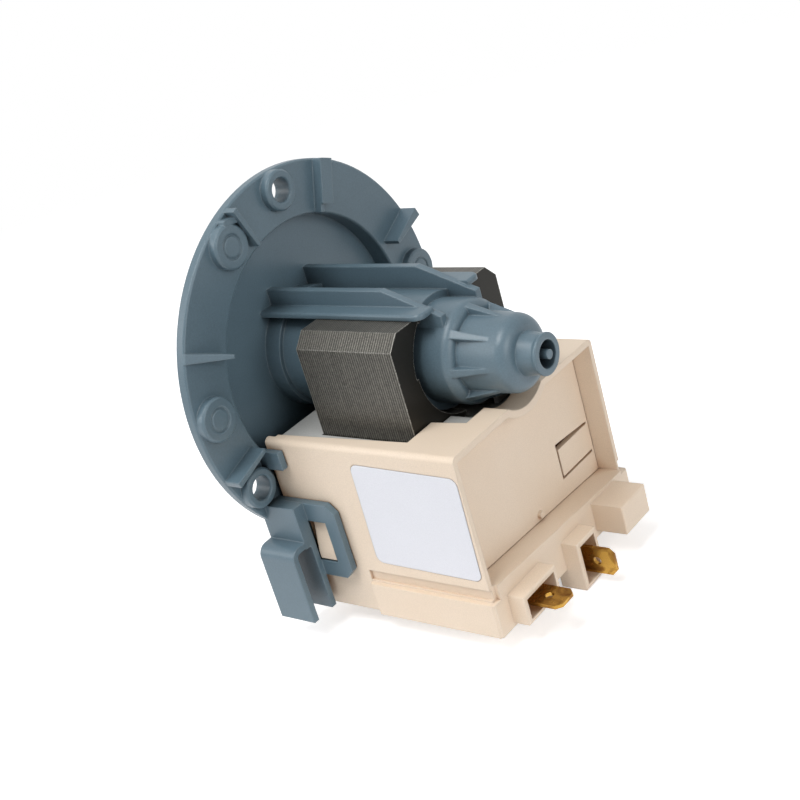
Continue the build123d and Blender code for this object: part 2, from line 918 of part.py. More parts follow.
def label_outline(start, end, gap=0):
    """Rounded, slightly turned plate in the label's place, from one y to another."""
    width = label_back - label_front + 2 * gap
    height = label_top - label_bottom + 2 * gap
    middle = Pos((label_front + label_back) / 2, (label_top + label_bottom) / 2)
    return along_y(middle * Rot(0, 0, label_turn) * RectangleRounded(width, height, label_corner), start, end)


def snap_relief():
    """Slot through the box's side in front of the snap nub and below it, so that the wall can spring."""
    y_range = (housing_half_width - housing_wall - cut_overrun, housing_half_width + cut_overrun)
    upright_slot = block((nub_front - relief_width, nub_front), y_range, (nub_bottom - relief_drop, nub_top))
    lower_slot = block((nub_front - relief_width, nub_back), y_range, (nub_bottom - relief_drop, nub_bottom))
    return upright_slot + lower_slot


def snap_nub():
    """Wedge on the box's side that snaps into the cover's latch window."""
    root = housing_half_width - housing_wall / 2
    crest = housing_half_width + nub_height
    points = [
        (root, nub_top),
        (housing_half_width + nub_lead, nub_top),
        (crest, nub_bottom + nub_height),
        (crest, nub_bottom),
        (root, nub_bottom),
    ]
    return along_x(outline(points), nub_front, nub_back)


def shroud(front, y_range, z_range):
    """Collar round a terminal, open at the rear."""
    back = lower_block_back + shroud_depth
    body = block((front, back), y_range, z_range)
    body = chamfer(body.faces().sort_by(Axis.X)[-1].edges(), shroud_wall / 4)
    y_inner = (y_range[0] + shroud_wall, y_range[1] - shroud_wall)
    z_inner = (z_range[0] + shroud_wall, z_range[1] - shroud_wall)
    room = block((max(front, lower_block_back - housing_wall) + shroud_wall, back + cut_overrun), y_inner, z_inner)
    return body, room


def coil_housing():
    body = housing_shell()
    line_body, line_room = shroud(
        housing_back, (line_shroud_near, line_shroud_far), (line_shroud_bottom, line_shroud_top)
    )
    neutral_body, neutral_room = shroud(
        neutral_shroud_front,
        (neutral_shroud_near, neutral_shroud_far),
        (neutral_shroud_bottom, neutral_shroud_top),
    )
    key = block((housing_back, lower_block_back + key_length), (key_near, key_far), (key_bottom, key_top))
    key = fillet(key.faces().sort_by(Axis.X)[-1].edges(), key_round)
    nub = snap_nub()
    relief = snap_relief()
    body = body - housing_cavity() - housing_frame_cuts() - [relief, mirrored(relief)]
    body = body + [line_body, neutral_body, key, nub, mirrored(nub)]
    body = body - [line_room, neutral_room]
    half = housing_half_width
    for side in (-1, 1):
        edges = sorted((side * (half - groove_depth), side * (half + cut_overrun)))
        body = body - block((skirt_front, housing_back + cut_overrun), edges, (groove_bottom, groove_top))
    body = body - label_outline(-half - cut_overrun, -half + label_thickness / 2, seat_gap)
    line_place, neutral_place = tab_places()
    return body - [
        shank_slot(line_place, tab_shank_width, tab_thickness),
        shank_slot(neutral_place, tab_thickness, tab_shank_width),
    ]


def shank_slot(place, y_size, z_size):
    """Slot in the rear wall that a terminal's shank passes through."""
    y, z = place
    y_half = y_size / 2 + tab_slot_gap
    z_half = z_size / 2 + tab_slot_gap
    x_range = (tab_root - cut_overrun, lower_block_back + shroud_wall + cut_overrun)
    return block(x_range, (y - y_half, y + y_half), (z - z_half, z + z_half))


def tab_places():
    line_z = (line_shroud_top + line_shroud_bottom) / 2
    neutral_z = housing_floor + tab_shank_width / 2 + tab_slot_gap
    return (line_tab_y, line_z), (neutral_tab_y, neutral_z)


def blade_tab(offset):
    """Flat terminal lying in x and a width, with its shank offset from the blade's middle."""
    front = lower_block_back + shroud_wall
    half = tab_width / 2
    points = [
        (front, -half),
        (tab_tip - tab_tip_chamfer, -half),
        (tab_tip, -half + tab_tip_chamfer),
        (tab_tip, half - tab_tip_chamfer),
        (tab_tip - tab_tip_chamfer, half),
        (front, half),
    ]
    blade = outline(points) - Pos(tab_tip - tab_hole_setback, 0) * Circle(tab_hole_radius)
    shank_middle = (tab_root + front + tab_thickness) / 2
    shank_length = front + tab_thickness - tab_root
    shank = Pos(shank_middle, offset) * Rectangle(shank_length, tab_shank_width)
    return blade + shank


def line_tab():
    place = tab_places()[0]
    face = Pos(0, place[0]) * blade_tab(0)
    return along_z(face, place[1] - tab_thickness / 2, place[1] + tab_thickness / 2)


def neutral_tab():
    y, z = tab_places()[1]
    blade_z = (neutral_shroud_top + neutral_shroud_bottom) / 2
    face = Pos(0, blade_z) * blade_tab(z - blade_z)
    return along_y(face, y - tab_thickness / 2, y + tab_thickness / 2)


def rear_lid():
    """Recessed lid with a snap tongue cut out of it."""
    points = frame_opening(lid_inset, frame_top_drop + frame_top_draft + lid_clearance, lid_clearance)
    plate = along_x(outline(points), lid_back, lid_face)
    slot_path = outline([
        (tongue_fixed, tongue_bottom - tongue_slot),
        (tongue_free - tongue_slot, tongue_bottom - tongue_slot),
        (tongue_free - tongue_slot, tongue_top + tongue_finger_gap),
        (tongue_fixed, tongue_top + tongue_slot),
        (tongue_fixed, tongue_top),
        (tongue_free, tongue_top),
        (tongue_free, tongue_bottom),
        (tongue_fixed, tongue_bottom),
    ])
    slot = along_x(slot_path, lid_back - cut_overrun, lid_face + cut_overrun)
    nub_z = ledge_z(lid_nub_y) + 2 * lid_nub_radius
    bump = disc(lid_nub_radius, lid_face - lid_thickness / 2, lid_face + lid_nub_height, lid_nub_y, nub_z)
    return plate - slot - saddle(lid_back - cut_overrun, lid_face + cut_overrun, lid_clearance) + bump


def rating_label():
    inner = -housing_half_width + label_thickness / 2
    return label_outline(inner - label_thickness, inner)


def rotor_shaft():
    points = [
        (shaft_front, 0),
        (shaft_front, shaft_radius - shaft_chamfer),
        (shaft_front + shaft_chamfer, shaft_radius),
        (shaft_back - shaft_chamfer, shaft_radius),
        (shaft_back, shaft_radius - shaft_chamfer),
        (shaft_back, 0),
    ]
    return turned(points)


def rotor_hub():
    """Moulded core between shaft and magnet, with an end cap at each end."""
    neck_front = front_bush_back + axial_play
    neck_back = rear_bush_front - washer_thickness - 2 * axial_play
    points = [
        (neck_front, shaft_radius),
        (neck_front, hub_neck_radius),
        (hub_front, hub_neck_radius),
        (hub_front, hub_cap_radius),
        (magnet_front, hub_cap_radius),
        (magnet_front, magnet_bore),
        (magnet_back, magnet_bore),
        (magnet_back, hub_cap_radius),
        (hub_back, hub_cap_radius),
        (hub_back, hub_neck_radius),
        (neck_back, hub_neck_radius),
        (neck_back, shaft_radius),
    ]
    keys = block(
        (magnet_front, magnet_back),
        (-hub_key_width / 2, hub_key_width / 2),
        (-magnet_bore - hub_key_depth, magnet_bore + hub_key_depth),
    )
    core = turned(points)
    return core + (keys - disc(magnet_bore - hub_key_depth, magnet_front - cut_overrun, magnet_back + cut_overrun))


def rotor_magnet():
    body = ring(magnet_radius, magnet_bore, magnet_front, magnet_back)
    keyway = block(
        (magnet_front - cut_overrun, magnet_back + cut_overrun),
        (-hub_key_width / 2, hub_key_width / 2),
        (-magnet_bore - hub_key_depth, magnet_bore + hub_key_depth),
    )
    return body - keyway


def bush(front, length):
    return ring(bush_radius, shaft_radius + running_clearance, front, front + length)


def rear_bush_rubber():
    """Rubber sleeve with a turned-in lip, between the rear bush and the barrel."""
    points = [
        (rear_bush_front, bush_radius),
        (rear_bush_front, barrel_bore - running_clearance),
        (rear_bush_back + rubber_lip, barrel_bore - running_clearance),
        (rear_bush_back + rubber_lip, bush_radius - rubber_lip),
        (rear_bush_back, bush_radius - rubber_lip),
        (rear_bush_back, bush_radius),
    ]
    return turned(points)


def front_bush_rubber():
    points = [
        (front_bush_front + rubber_lip, bush_radius),
        (front_bush_front + rubber_lip, front_rubber_radius),
        (front_bush_back - rubber_lip, front_rubber_radius),
        (front_bush_back - rubber_lip, bush_radius),
    ]
    return turned(points)


def front_bearing_plate():
    """Plug in the canister's mouth that carries the front bush, with a seal groove."""
    flange_front = dish_front_x - plate_flange_thickness
    plug_back = dish_front_x + plate_plug_depth
    plug_radius = canister_bore - running_clearance
    groove_front = dish_front_x + plate_seal_offset - plate_seal_section / 2 - seat_gap
    groove_back = groove_front + plate_seal_section + 2 * seat_gap
    groove_radius = plug_radius - plate_seal_section
    points = [
        (flange_front, front_rubber_radius),
        (flange_front, canister_bore + plate_rim),
        (dish_front_x, canister_bore + plate_rim),
        (dish_front_x, plug_radius),
        (groove_front, plug_radius),
        (groove_front, groove_radius),
        (groove_back, groove_radius),
        (groove_back, plug_radius),
        (plug_back, plug_radius),
        (plug_back, groove_radius - plate_web),
        (plug_back - plate_web_recess, groove_radius - plate_web),
        (plug_back - plate_web_recess, front_rubber_radius + plate_web),
        (plug_back, front_rubber_radius + plate_web),
        (plug_back, front_rubber_radius),
    ]
    return turned(points)


def bearing_plate_seal():
    section = plate_seal_section - 2 * running_clearance
    front = dish_front_x + plate_seal_offset - section / 2
    return seal_ring(front, canister_bore - plate_seal_section, section)


def washer(front):
    return ring(washer_radius, shaft_radius, front, front + washer_thickness)


def driver_dog():
    """Collar fixed on the shaft with one tooth that drives the impeller's tooth."""
    front = chamber_front + axial_play
    back = chamber_cap_front - axial_play
    core = ring(dog_core_radius, shaft_radius, front, back)
    tooth = sector(
        chamber_radius - dog_tip_clearance, shaft_radius, front, back, -90, dog_width_degrees
    )
    return core + tooth


def impeller():
    """Hub cup with the driven tooth inside, straight vanes and a back disc."""
    hub = disc(impeller_hub_radius, impeller_front, impeller_back)
    disc_front = impeller_back - impeller_disc
    back_disc = disc(impeller_radius, disc_front, impeller_back)
    vane = outline([
        (impeller_back - impeller_disc / 2, 0),
        (impeller_front, 0),
        (impeller_front, impeller_hub_radius),
        (impeller_front + vane_tip_drop, impeller_radius),
        (impeller_back - impeller_disc / 2, impeller_radius),
    ])
    first = along_y(vane, -vane_thickness / 2, vane_thickness / 2)
    vanes = [Rot(index * 360 / vane_count, 0, 0) * first for index in range(vane_count)]
    body = hub + back_disc + vanes
    body = body - disc(chamber_radius, chamber_front, impeller_back + cut_overrun)
    body = body - disc(shaft_radius + running_clearance, impeller_front - cut_overrun, impeller_back)
    tooth = sector(
        chamber_radius + dog_tip_clearance,
        dog_core_radius + dog_tip_clearance,
        chamber_front - dog_tip_clearance,
        chamber_cap_front - axial_play,
        90,
        dog_width_degrees,
    )
    return body + tooth


def impeller_cap():
    return ring(
        chamber_radius - running_clearance, shaft_radius + running_clearance, chamber_cap_front, impeller_back
    )


def impeller_clip():
    front = impeller_front - axial_play - clip_thickness
    return ring(clip_radius, shaft_radius, front, front + clip_thickness)


def cutout_ranges():
    x_wound, y_wound = winding_ranges()
    front = x_wound[1] + flange_overlap + seat_gap
    return (
        (front, front + cutout_depth),
        (cutout_y - cutout_width / 2, cutout_y + cutout_width / 2),
        (cutout_z - cutout_height / 2, cutout_z + cutout_height / 2),
    )


def thermal_cutout():
    body = block(*cutout_ranges())
    return fillet(body.edges().filter_by(Axis.Y), cutout_round)


def lead(points):
    """Insulated lead: straight runs of round wire with square bends."""
    path = Polyline(*points)
    return sweep(Plane(points[0], z_dir=path % 0) * Circle(lead_radius), path, transition=Transition.RIGHT)


def coil_leads():
    """Leads from winding to line tab, winding to cut-out, and cut-out to neutral tab."""
    x_wound, y_wound = winding_ranges()
    bottom, low, high, top = bobbin_heights()
    plane = x_wound[1] + flange_overlap + lead_plane_gap + lead_radius
    (line_y, line_z), (neutral_y, neutral_z) = tab_places()
    x_cut, y_cut, z_cut = cutout_ranges()
    cut_x = (x_cut[0] + x_cut[1]) / 2
    start = x_wound[1] + seat_gap
    inner_z = low + lead_height
    outer_z = high - lead_height
    line_end = line_z + tab_thickness / 2 + seat_gap
    neutral_end = neutral_z + tab_shank_width / 2 + seat_gap
    return {
        "line_lead": lead([(start, line_y, inner_z), (plane, line_y, inner_z), (plane, line_y, line_end)]),
        "cutout_lead": lead([
            (start, cutout_y, outer_z), (cut_x, cutout_y, outer_z), (cut_x, cutout_y, z_cut[1] + seat_gap)
        ]),
        "neutral_lead": lead([
            (cut_x, y_cut[0] - seat_gap, cutout_z), (cut_x, neutral_y, cutout_z), (cut_x, neutral_y, neutral_end)
        ]),
    }


def save(name, solid):
    export_step(solid, f"parts/{name}.step")


def main():
    os.makedirs("parts", exist_ok=True)
    save("pump_cover", pump_cover())
    save("flange_seal", flange_seal())
    save("front_bearing_plate", front_bearing_plate())
    save("bearing_plate_seal", bearing_plate_seal())
    save("front_bush_rubber", front_bush_rubber())
    save("front_bush", bush(front_bush_front, front_bush_length))
    save("rear_bush_rubber", rear_bush_rubber())
    save("rear_bush", bush(rear_bush_front, rear_bush_length))
    save("left_pole_stack", pole_stack(-1))
    save("right_pole_stack", pole_stack(1))
    save("yoke_stack", yoke_stack())
    save("left_bobbin", mirrored(bobbin()))
    save("right_bobbin", bobbin())
    save("left_winding", mirrored(winding()))
    save("right_winding", winding())
    save("left_coil_cap", mirrored(coil_cap()))
    save("right_coil_cap", coil_cap())
    save("coil_housing", coil_housing())
    save("rear_lid", rear_lid())
    save("rating_label", rating_label())
    save("line_terminal", line_tab())
    save("neutral_terminal", neutral_tab())
    save("thermal_cutout", thermal_cutout())
    for name, solid in coil_leads().items():
        save(name, solid)
    save("rotor_shaft", rotor_shaft())
    save("rotor_hub", rotor_hub())
    save("rotor_magnet", rotor_magnet())
    save("rear_thrust_washer", washer(rear_bush_front - axial_play - washer_thickness))
    save("front_thrust_washer", washer(front_bush_front - axial_play - washer_thickness))
    save("driver_dog", driver_dog())
    save("impeller_clip", impeller_clip())
    save("impeller", impeller())
    save("impeller_cap", impeller_cap())


main()
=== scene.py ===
"""Looks of a washer drain pump: moulded cover, coil box, laminated core, rotor and impeller."""

import bpy
import numpy as np
from mathutils import Matrix, Vector


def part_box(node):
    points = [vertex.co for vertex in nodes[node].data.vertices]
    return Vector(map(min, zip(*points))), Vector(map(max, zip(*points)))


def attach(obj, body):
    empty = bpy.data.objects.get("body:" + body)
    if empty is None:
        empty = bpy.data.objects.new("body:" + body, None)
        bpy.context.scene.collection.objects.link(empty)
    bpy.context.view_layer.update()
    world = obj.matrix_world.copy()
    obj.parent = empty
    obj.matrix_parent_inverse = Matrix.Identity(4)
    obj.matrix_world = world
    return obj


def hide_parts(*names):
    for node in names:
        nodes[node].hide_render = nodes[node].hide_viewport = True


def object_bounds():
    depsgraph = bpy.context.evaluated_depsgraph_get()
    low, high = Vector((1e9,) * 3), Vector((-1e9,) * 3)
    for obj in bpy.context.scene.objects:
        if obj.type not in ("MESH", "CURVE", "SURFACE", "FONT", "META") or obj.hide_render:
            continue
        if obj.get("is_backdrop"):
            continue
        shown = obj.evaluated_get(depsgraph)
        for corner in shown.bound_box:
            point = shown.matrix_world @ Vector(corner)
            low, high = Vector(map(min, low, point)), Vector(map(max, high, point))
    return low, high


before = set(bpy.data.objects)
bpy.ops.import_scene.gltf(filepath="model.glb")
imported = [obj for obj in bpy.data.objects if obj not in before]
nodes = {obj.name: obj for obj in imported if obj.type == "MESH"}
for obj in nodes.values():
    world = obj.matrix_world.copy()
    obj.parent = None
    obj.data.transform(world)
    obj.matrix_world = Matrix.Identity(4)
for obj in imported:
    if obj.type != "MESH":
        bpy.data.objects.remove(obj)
cad_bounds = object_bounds()
scene = bpy.context.scene


# Camera
# The photograph was taken from behind the flange, above the terminals and a little rolled,
# with a short tele lens. The three directions below were solved from the flange and the box edges.
camera_place = Vector((0.213565, -0.198625, 0.105762))
camera_right = Vector((0.76491, 0.58765, -0.26377))
camera_down = Vector((0.05742, -0.47008, -0.88076))
camera_ahead = Vector((-0.64157, 0.65855, -0.39331))
camera_data = bpy.data.cameras.new("photo_camera")
camera_data.sensor_width = 36.0
camera_data.lens = 62.5
camera_data.clip_start = 0.01
camera_data.clip_end = 50.0
camera = bpy.data.objects.new("photo_camera", camera_data)
turn = Matrix((camera_right, -camera_down, -camera_ahead)).transposed()
camera.matrix_world = Matrix.Translation(camera_place) @ turn.to_4x4()
scene.collection.objects.link(camera)
scene.camera = camera


# Studio
# A pale floor just under the coil box, an even white surround, and three large soft lamps.
# The surround and the floor show as white to the camera, and the floor keeps the pump's shadow.
def add_node(tree, kind, sockets=None, **settings):
    """Shader node with its settings, and its sockets, each given a value or the socket that feeds it."""
    made = tree.nodes.new(kind)
    for key, value in settings.items():
        setattr(made, key, value)
    for key, value in (sockets or {}).items():
        if isinstance(value, bpy.types.NodeSocket):
            tree.links.new(value, made.inputs[key])
        else:
            made.inputs[key].default_value = value
    return made


def surface_seen(tree, strength):
    """The given strength for camera, mirror and glass rays, and zero for the light that falls on the pump."""
    path = add_node(tree, "ShaderNodeLightPath")
    mirror = add_node(tree, "ShaderNodeMath",
                      {0: path.outputs["Is Camera Ray"], 1: path.outputs["Is Glossy Ray"]},
                      operation="MAXIMUM")
    glass = add_node(tree, "ShaderNodeMath", {0: mirror.outputs[0], 1: path.outputs["Is Transmission Ray"]},
                     operation="MAXIMUM")
    held = add_node(tree, "ShaderNodeMath", {0: glass.outputs[0], 1: strength}, operation="MULTIPLY")
    return held.outputs[0]


white = (1.0, 1.0, 1.0, 1.0)
surround_level = 0.40
world = bpy.data.worlds.new("white_surround")
scene.world = world
world.use_nodes = True
tree = world.node_tree
tree.nodes.clear()
seen = surface_seen(tree, 1.0 - surround_level)
level = add_node(tree, "ShaderNodeMath", {0: seen, 1: surround_level}, operation="ADD")
sky = add_node(tree, "ShaderNodeBackground", {"Color": white, "Strength": level.outputs[0]})
add_node(tree, "ShaderNodeOutputWorld", {"Surface": sky.outputs[0]})

floor_half = 6.0
floor_gap = 0.0001
floor_colour = (0.86, 0.86, 0.87, 1.0)
floor_lift = 0.5
floor_fade_start = 0.15
floor_fade_end = 0.50
floor_height = cad_bounds[0][2] - floor_gap
floor_mesh = bpy.data.meshes.new("pale_floor")
floor_corners = floor_half * np.array([(-1, -1, 0), (1, -1, 0), (1, 1, 0), (-1, 1, 0)]) + (0, 0, floor_height)
floor_mesh.from_pydata(floor_corners.tolist(), [], [(0, 1, 2, 3)])
floor = bpy.data.objects.new("pale_floor", floor_mesh)
scene.collection.objects.link(floor)
floor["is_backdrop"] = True
floor_paint = bpy.data.materials.new("pale_floor")
floor_paint.use_nodes = True
tree = floor_paint.node_tree
tree.nodes.clear()
paint = add_node(tree, "ShaderNodeBsdfDiffuse", {"Color": floor_colour})
lift = add_node(tree, "ShaderNodeEmission", {"Color": white, "Strength": surface_seen(tree, floor_lift)})
near = add_node(tree, "ShaderNodeAddShader", {0: paint.outputs[0], 1: lift.outputs[0]})
far = add_node(tree, "ShaderNodeEmission", {"Color": white, "Strength": surface_seen(tree, 1.0)})
spot = add_node(tree, "ShaderNodeTexCoord")
away = add_node(tree, "ShaderNodeVectorMath", {0: spot.outputs["Object"]}, operation="LENGTH")
fade = add_node(tree, "ShaderNodeMapRange",
                {"Value": away.outputs["Value"], "From Min": floor_fade_start, "From Max": floor_fade_end})
shown = add_node(tree, "ShaderNodeMixShader", {0: fade.outputs[0], 1: near.outputs[0], 2: far.outputs[0]})
add_node(tree, "ShaderNodeOutputMaterial", {"Surface": shown.outputs[0]})
floor.data.materials.append(floor_paint)

lamp_aim_drop = 0.005
pump_middle = Vector(((cad_bounds[0][0] + cad_bounds[1][0]) / 2, 0.0, -lamp_aim_drop))
soft_lamps = (
    ("key_lamp", (0.00, -0.40, 0.85), 0.45, 5.4),
    ("side_lamp", (0.85, -0.15, 0.30), 0.45, 2.4),
    ("back_lamp", (-0.45, -0.55, 0.35), 0.40, 1.6),
)
for name, place, size, power in soft_lamps:
    lamp_data = bpy.data.lights.new(name, "AREA")
    lamp_data.shape = "SQUARE"
    lamp_data.size = size
    lamp_data.energy = power
    lamp = bpy.data.objects.new(name, lamp_data)
    aim = (pump_middle - Vector(place)).to_track_quat("-Z", "Y")
    lamp.matrix_world = Matrix.Translation(Vector(place)) @ aim.to_matrix().to_4x4()
    scene.collection.objects.link(lamp)
scene.view_settings.view_transform = "Standard"


# Pump cover
# One satin moulding of grey-blue glass-filled plastic: flange, sunk dish, rotor canister, barrel with
# eight ribs, bridge, straps with snap windows and the cord hook. Its steel mould was spark eroded,
# so the skin has a fine grain and faint clouds of colour. A painted highlight lightens its edges.
def new_group(name, inputs, outputs):
    """Shader node group with named sockets, and its own input and output nodes."""
    group = bpy.data.node_groups.new(name, "ShaderNodeTree")
    for label, kind, value in inputs:
        socket = group.interface.new_socket(name=label, in_out="INPUT", socket_type=kind)
        socket.default_value = value
    for label, kind in outputs:
        group.interface.new_socket(name=label, in_out="OUTPUT", socket_type=kind)
    return group, group.nodes.new("NodeGroupInput"), group.nodes.new("NodeGroupOutput")


FLOAT = "NodeSocketFloat"
COLOUR = "NodeSocketColor"
VECTOR = "NodeSocketVector"


def edge_wear_and_highlight_group():
    """Mask of edges, for wear and for painted highlight: it rises where the surface turns within a small
    radius, as width times (1 - rounded normal dot true normal) in patches. Also the normal rounded over that
    radius."""
    group, into, out = new_group(
        "edge_wear_and_highlight",
        [("Radius", FLOAT, 0.0004), ("Width", FLOAT, 6.0), ("Patchiness", FLOAT, 0.5),
         ("Patch Scale", FLOAT, 300.0)],
        [("Mask", FLOAT), ("Normal", VECTOR)],
    )
    bevel = add_node(group, "ShaderNodeBevel", {"Radius": into.outputs["Radius"]}, samples=6)
    true = add_node(group, "ShaderNodeNewGeometry")
    same = add_node(group, "ShaderNodeVectorMath", {0: bevel.outputs[0], 1: true.outputs["True Normal"]},
                    operation="DOT_PRODUCT")
    away = add_node(group, "ShaderNodeMath", {0: 1.0, 1: same.outputs["Value"]}, operation="SUBTRACT")
    wide = add_node(group, "ShaderNodeMath", {0: away.outputs[0], 1: into.outputs["Width"]},
                    operation="MULTIPLY", use_clamp=True)
    place = add_node(group, "ShaderNodeTexCoord")
    patch = add_node(group, "ShaderNodeTexNoise",
                     {"Vector": place.outputs["Object"], "Scale": into.outputs["Patch Scale"], "Detail": 3.0})
    less = add_node(group, "ShaderNodeMath", {0: 1.0, 1: into.outputs["Patchiness"]}, operation="SUBTRACT")
    keep = add_node(group, "ShaderNodeMapRange",
                    {"Value": patch.outputs["Fac"], "From Min": 0.35, "From Max": 0.65,
                     "To Min": less.outputs[0], "To Max": 1.0})
    mask = add_node(group, "ShaderNodeMath", {0: wide.outputs[0], 1: keep.outputs[0]}, operation="MULTIPLY")
    group.links.new(mask.outputs[0], out.inputs["Mask"])
    group.links.new(bevel.outputs[0], out.inputs["Normal"])
    return group


def moulded_skin_group():
    """Moulded plastic: clouds of colour, a fine eroded grain, and a roughness that follows the clouds."""
    group, into, out = new_group(
        "moulded_skin",
        [("Colour", COLOUR, (0.5, 0.5, 0.5, 1.0)), ("Cloud Colour", COLOUR, (0.4, 0.4, 0.4, 1.0)),
         ("Cloud Scale", FLOAT, 40.0), ("Grain Scale", FLOAT, 3000.0), ("Grain Depth", FLOAT, 0.15),
         ("Roughness", FLOAT, 0.45), ("Roughness Spread", FLOAT, 0.12), ("Normal", VECTOR, (0.0, 0.0, 0.0))],
        [("Colour", COLOUR), ("Roughness", FLOAT), ("Normal", VECTOR)],
    )
    place = add_node(group, "ShaderNodeTexCoord")
    cloud = add_node(group, "ShaderNodeTexNoise",
                     {"Vector": place.outputs["Object"], "Scale": into.outputs["Cloud Scale"], "Detail": 5.0,
                      "Roughness": 0.6, "Distortion": 0.4})
    grain = add_node(group, "ShaderNodeTexNoise",
                     {"Vector": place.outputs["Object"], "Scale": into.outputs["Grain Scale"], "Detail": 2.0})
    soft = add_node(group, "ShaderNodeMapRange",
                    {"Value": cloud.outputs["Fac"], "From Min": 0.3, "From Max": 0.7})
    tint = add_node(group, "ShaderNodeMix",
                    {0: soft.outputs[0], 6: into.outputs["Colour"], 7: into.outputs["Cloud Colour"]},
                    data_type="RGBA")
    fleck = add_node(group, "ShaderNodeMapRange",
                     {"Value": grain.outputs["Fac"], "From Min": 0.3, "From Max": 0.7,
                      "To Min": 0.94, "To Max": 1.06})
    shade = add_node(group, "ShaderNodeVectorMath", {0: tint.outputs[2], 3: fleck.outputs[0]},
                     operation="SCALE")
    centre = add_node(group, "ShaderNodeMath", {0: cloud.outputs["Fac"], 1: 0.5}, operation="SUBTRACT")
    rough = add_node(group, "ShaderNodeMath",
                     {0: centre.outputs[0], 1: into.outputs["Roughness Spread"],
                      2: into.outputs["Roughness"]}, operation="MULTIPLY_ADD")
    bump = add_node(group, "ShaderNodeBump",
                    {"Strength": into.outputs["Grain Depth"], "Distance": 0.0001,
                     "Height": grain.outputs["Fac"], "Normal": into.outputs["Normal"]})
    group.links.new(shade.outputs[0], out.inputs["Colour"])
    group.links.new(rough.outputs[0], out.inputs["Roughness"])
    group.links.new(bump.outputs[0], out.inputs["Normal"])
    return group


def painted_shade_group():
    """Mask of painted shade in corners and recesses: it rises as the open share of the sky within a short
    distance falls from the fill value to none."""
    group, into, out = new_group("painted_shade", [("Distance", FLOAT, 0.004), ("Fill", FLOAT, 0.6)],
                                 [("Mask", FLOAT)])
    open_share = add_node(group, "ShaderNodeAmbientOcclusion", {"Distance": into.outputs["Distance"]},
                          samples=8)
    closed = add_node(group, "ShaderNodeMapRange",
                      {"Value": open_share.outputs["AO"], "From Min": into.outputs["Fill"], "From Max": 0.0})
    group.links.new(closed.outputs[0], out.inputs["Mask"])
    return group


edge_wear_and_highlight = edge_wear_and_highlight_group()
moulded_skin = moulded_skin_group()
painted_shade = painted_shade_group()


def new_material(name, metallic=0.0):
    """Material with one Principled shader, metal or not all over."""
    material = bpy.data.materials.new(name)
    material.use_nodes = True
    tree = material.node_tree
    tree.nodes.clear()
    shader = add_node(tree, "ShaderNodeBsdfPrincipled", {"Metallic": metallic})
    add_node(tree, "ShaderNodeOutputMaterial", {"Surface": shader.outputs[0]})
    return material, tree, shader


def moulded_plastic(name, colour, cloud, edge_highlight_colour, painted_shade_colour, roughness, grain_depth=0.15,
                    edge_radius=0.00035, cloud_scale=40.0, grain_scale=3000.0, painted_shade_distance=0.004,
                    painted_shade_fill=0.6):
    """Moulded plastic: skin group, edges lightened by a painted highlight, corners darkened by painted shade,
    and rounded edge normals.
    """
    edge_width = 3.0
    edge_highlight_share = 0.5
    material, tree, shader = new_material(name)
    worn_and_lit_edge = add_node(tree, "ShaderNodeGroup", {"Radius": edge_radius, "Width": edge_width},
                    node_tree=edge_wear_and_highlight)
    skin = add_node(tree, "ShaderNodeGroup",
                    {"Colour": (*colour, 1.0), "Cloud Colour": (*cloud, 1.0), "Cloud Scale": cloud_scale,
                     "Grain Scale": grain_scale, "Grain Depth": grain_depth, "Roughness": roughness,
                     "Normal": worn_and_lit_edge.outputs["Normal"]}, node_tree=moulded_skin)
    # Painted highlight: the edges lighten towards the highlight colour.
    amount = add_node(tree, "ShaderNodeMath", {0: worn_and_lit_edge.outputs["Mask"], 1: edge_highlight_share}, operation="MULTIPLY")
    tone = add_node(tree, "ShaderNodeMix",
                    {0: amount.outputs[0], 6: skin.outputs["Colour"], 7: (*edge_highlight_colour, 1.0)},
                    data_type="RGBA")
    # Painted shade: corners and recesses darken towards the shade colour, as if the light did not reach them.
    corner = add_node(tree, "ShaderNodeGroup", {"Distance": painted_shade_distance, "Fill": painted_shade_fill},
                      node_tree=painted_shade)
    painted_shade_tone = add_node(tree, "ShaderNodeMix",
                    {0: corner.outputs["Mask"], 6: tone.outputs[2], 7: (*painted_shade_colour, 1.0)}, data_type="RGBA")
    tree.links.new(painted_shade_tone.outputs[2], shader.inputs["Base Color"])
    tree.links.new(skin.outputs["Roughness"], shader.inputs["Roughness"])
    tree.links.new(skin.outputs["Normal"], shader.inputs["Normal"])
    return material


def dress(material, *names):
    """Gives the CAD nodes one material."""
    for name in names:
        mesh = nodes[name].data
        mesh.materials.clear()
        mesh.materials.append(material)
        mesh.polygons.foreach_set("material_index", np.zeros(len(mesh.polygons), dtype=np.int32))


# A near-black painted shade darkens the dish, the rails and the hook slot, and a painted highlight lightens
# the edges.
cover_plastic = moulded_plastic(
    "cover_plastic", colour=(0.110, 0.168, 0.205), cloud=(0.095, 0.147, 0.183),
    edge_highlight_colour=(0.27, 0.36, 0.41), painted_shade_colour=(0.004, 0.006, 0.008), roughness=0.36, grain_depth=0.2,
    edge_radius=0.0005, painted_shade_distance=0.012, painted_shade_fill=0.56)
dress(cover_plastic, "pump_cover")


